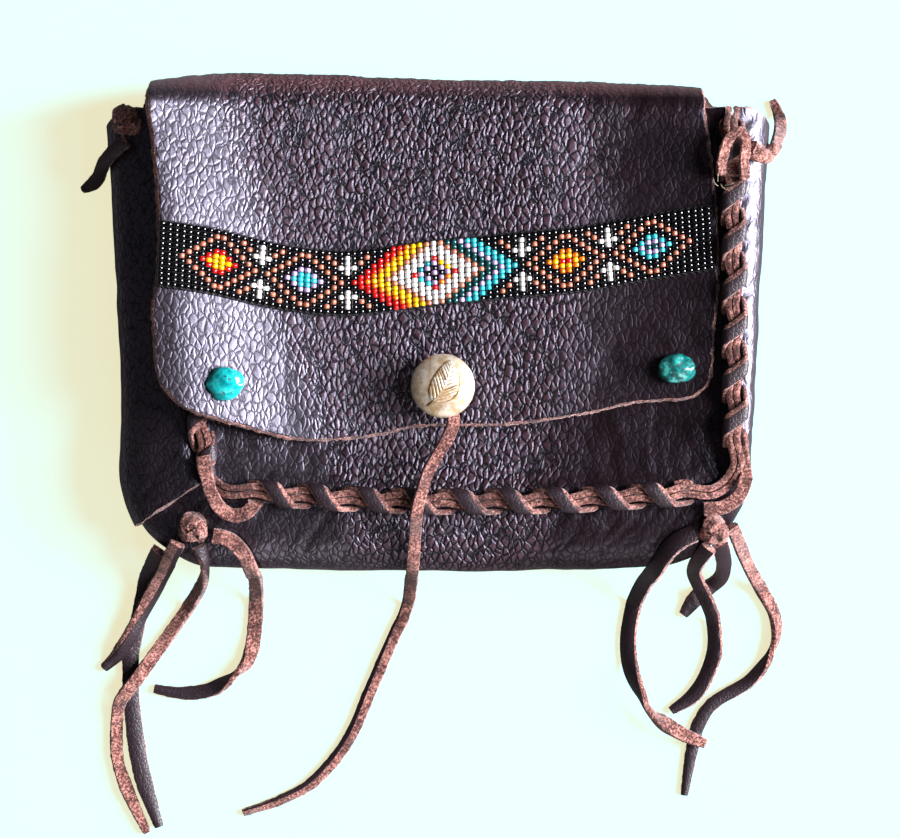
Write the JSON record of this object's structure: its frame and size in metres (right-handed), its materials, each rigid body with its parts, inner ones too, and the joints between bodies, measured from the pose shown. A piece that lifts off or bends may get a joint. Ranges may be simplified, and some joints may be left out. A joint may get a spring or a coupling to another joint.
{
  "type": "beaded hip bag",
  "caption": "Small leather hip bag with whip-laced seams, a fold-over flap with a loomed bead band, a domed button, stone nuggets, loose lace fringe and belt loops.",
  "frame": {"origin": "centre of the bag's bounding box on the surface it lies on, without its free laces", "axes": "+X across the bag to the right as the flap is seen, +Y from the base to the mouth and fold, +Z out of the front"},
  "size_m": [0.2344, 0.2488, 0.0422],
  "materials": {
    "leather": "pebbled, soft sheen, worn",
    "lace_leather": "grain side dark, flesh side and cut edges reddish suede",
    "beads": "glossy opaque glass seed beads",
    "silver": "aged, tarnished brown in the relief",
    "turquoise": "polished turquoise stone with a brown matrix"
  },
  "bodies": {
    "pouch": {"body_wrap": "leather", "front_panel": "leather", "belt_loop_left": "leather", "belt_loop_right": "leather", "lacing_left": "lace_leather", "lacing_bottom": "lace_leather", "lacing_right": "lace_leather", "knot_left": "lace_leather", "knot_right": "lace_leather", "knot_top_left": "lace_leather", "knot_top_right": "lace_leather", "fringe_left_1": "lace_leather", "fringe_left_2": "lace_leather", "fringe_left_3": "lace_leather", "fringe_left_4": "lace_leather", "fringe_right_1": "lace_leather", "fringe_right_2": "lace_leather", "fringe_right_3": "lace_leather", "fringe_right_4": "lace_leather", "tail_top_left": "lace_leather", "tail_top_right": "lace_leather"},
    "cover": {"flap": "leather", "bead_band": "beads", "turquoise_left": "turquoise", "turquoise_right": "turquoise", "concho_button": "silver", "concho_screw": "silver", "button_thong": "lace_leather"}
  },
  "joints": [
    {"name": "flap_hinge", "type": "hinge", "parent": "pouch", "child": "cover", "pos_m": [0, 0.0775, 0.012], "axis": [-0.9996, 0.0285, 0], "range_deg": [0, 140]}
  ]
}
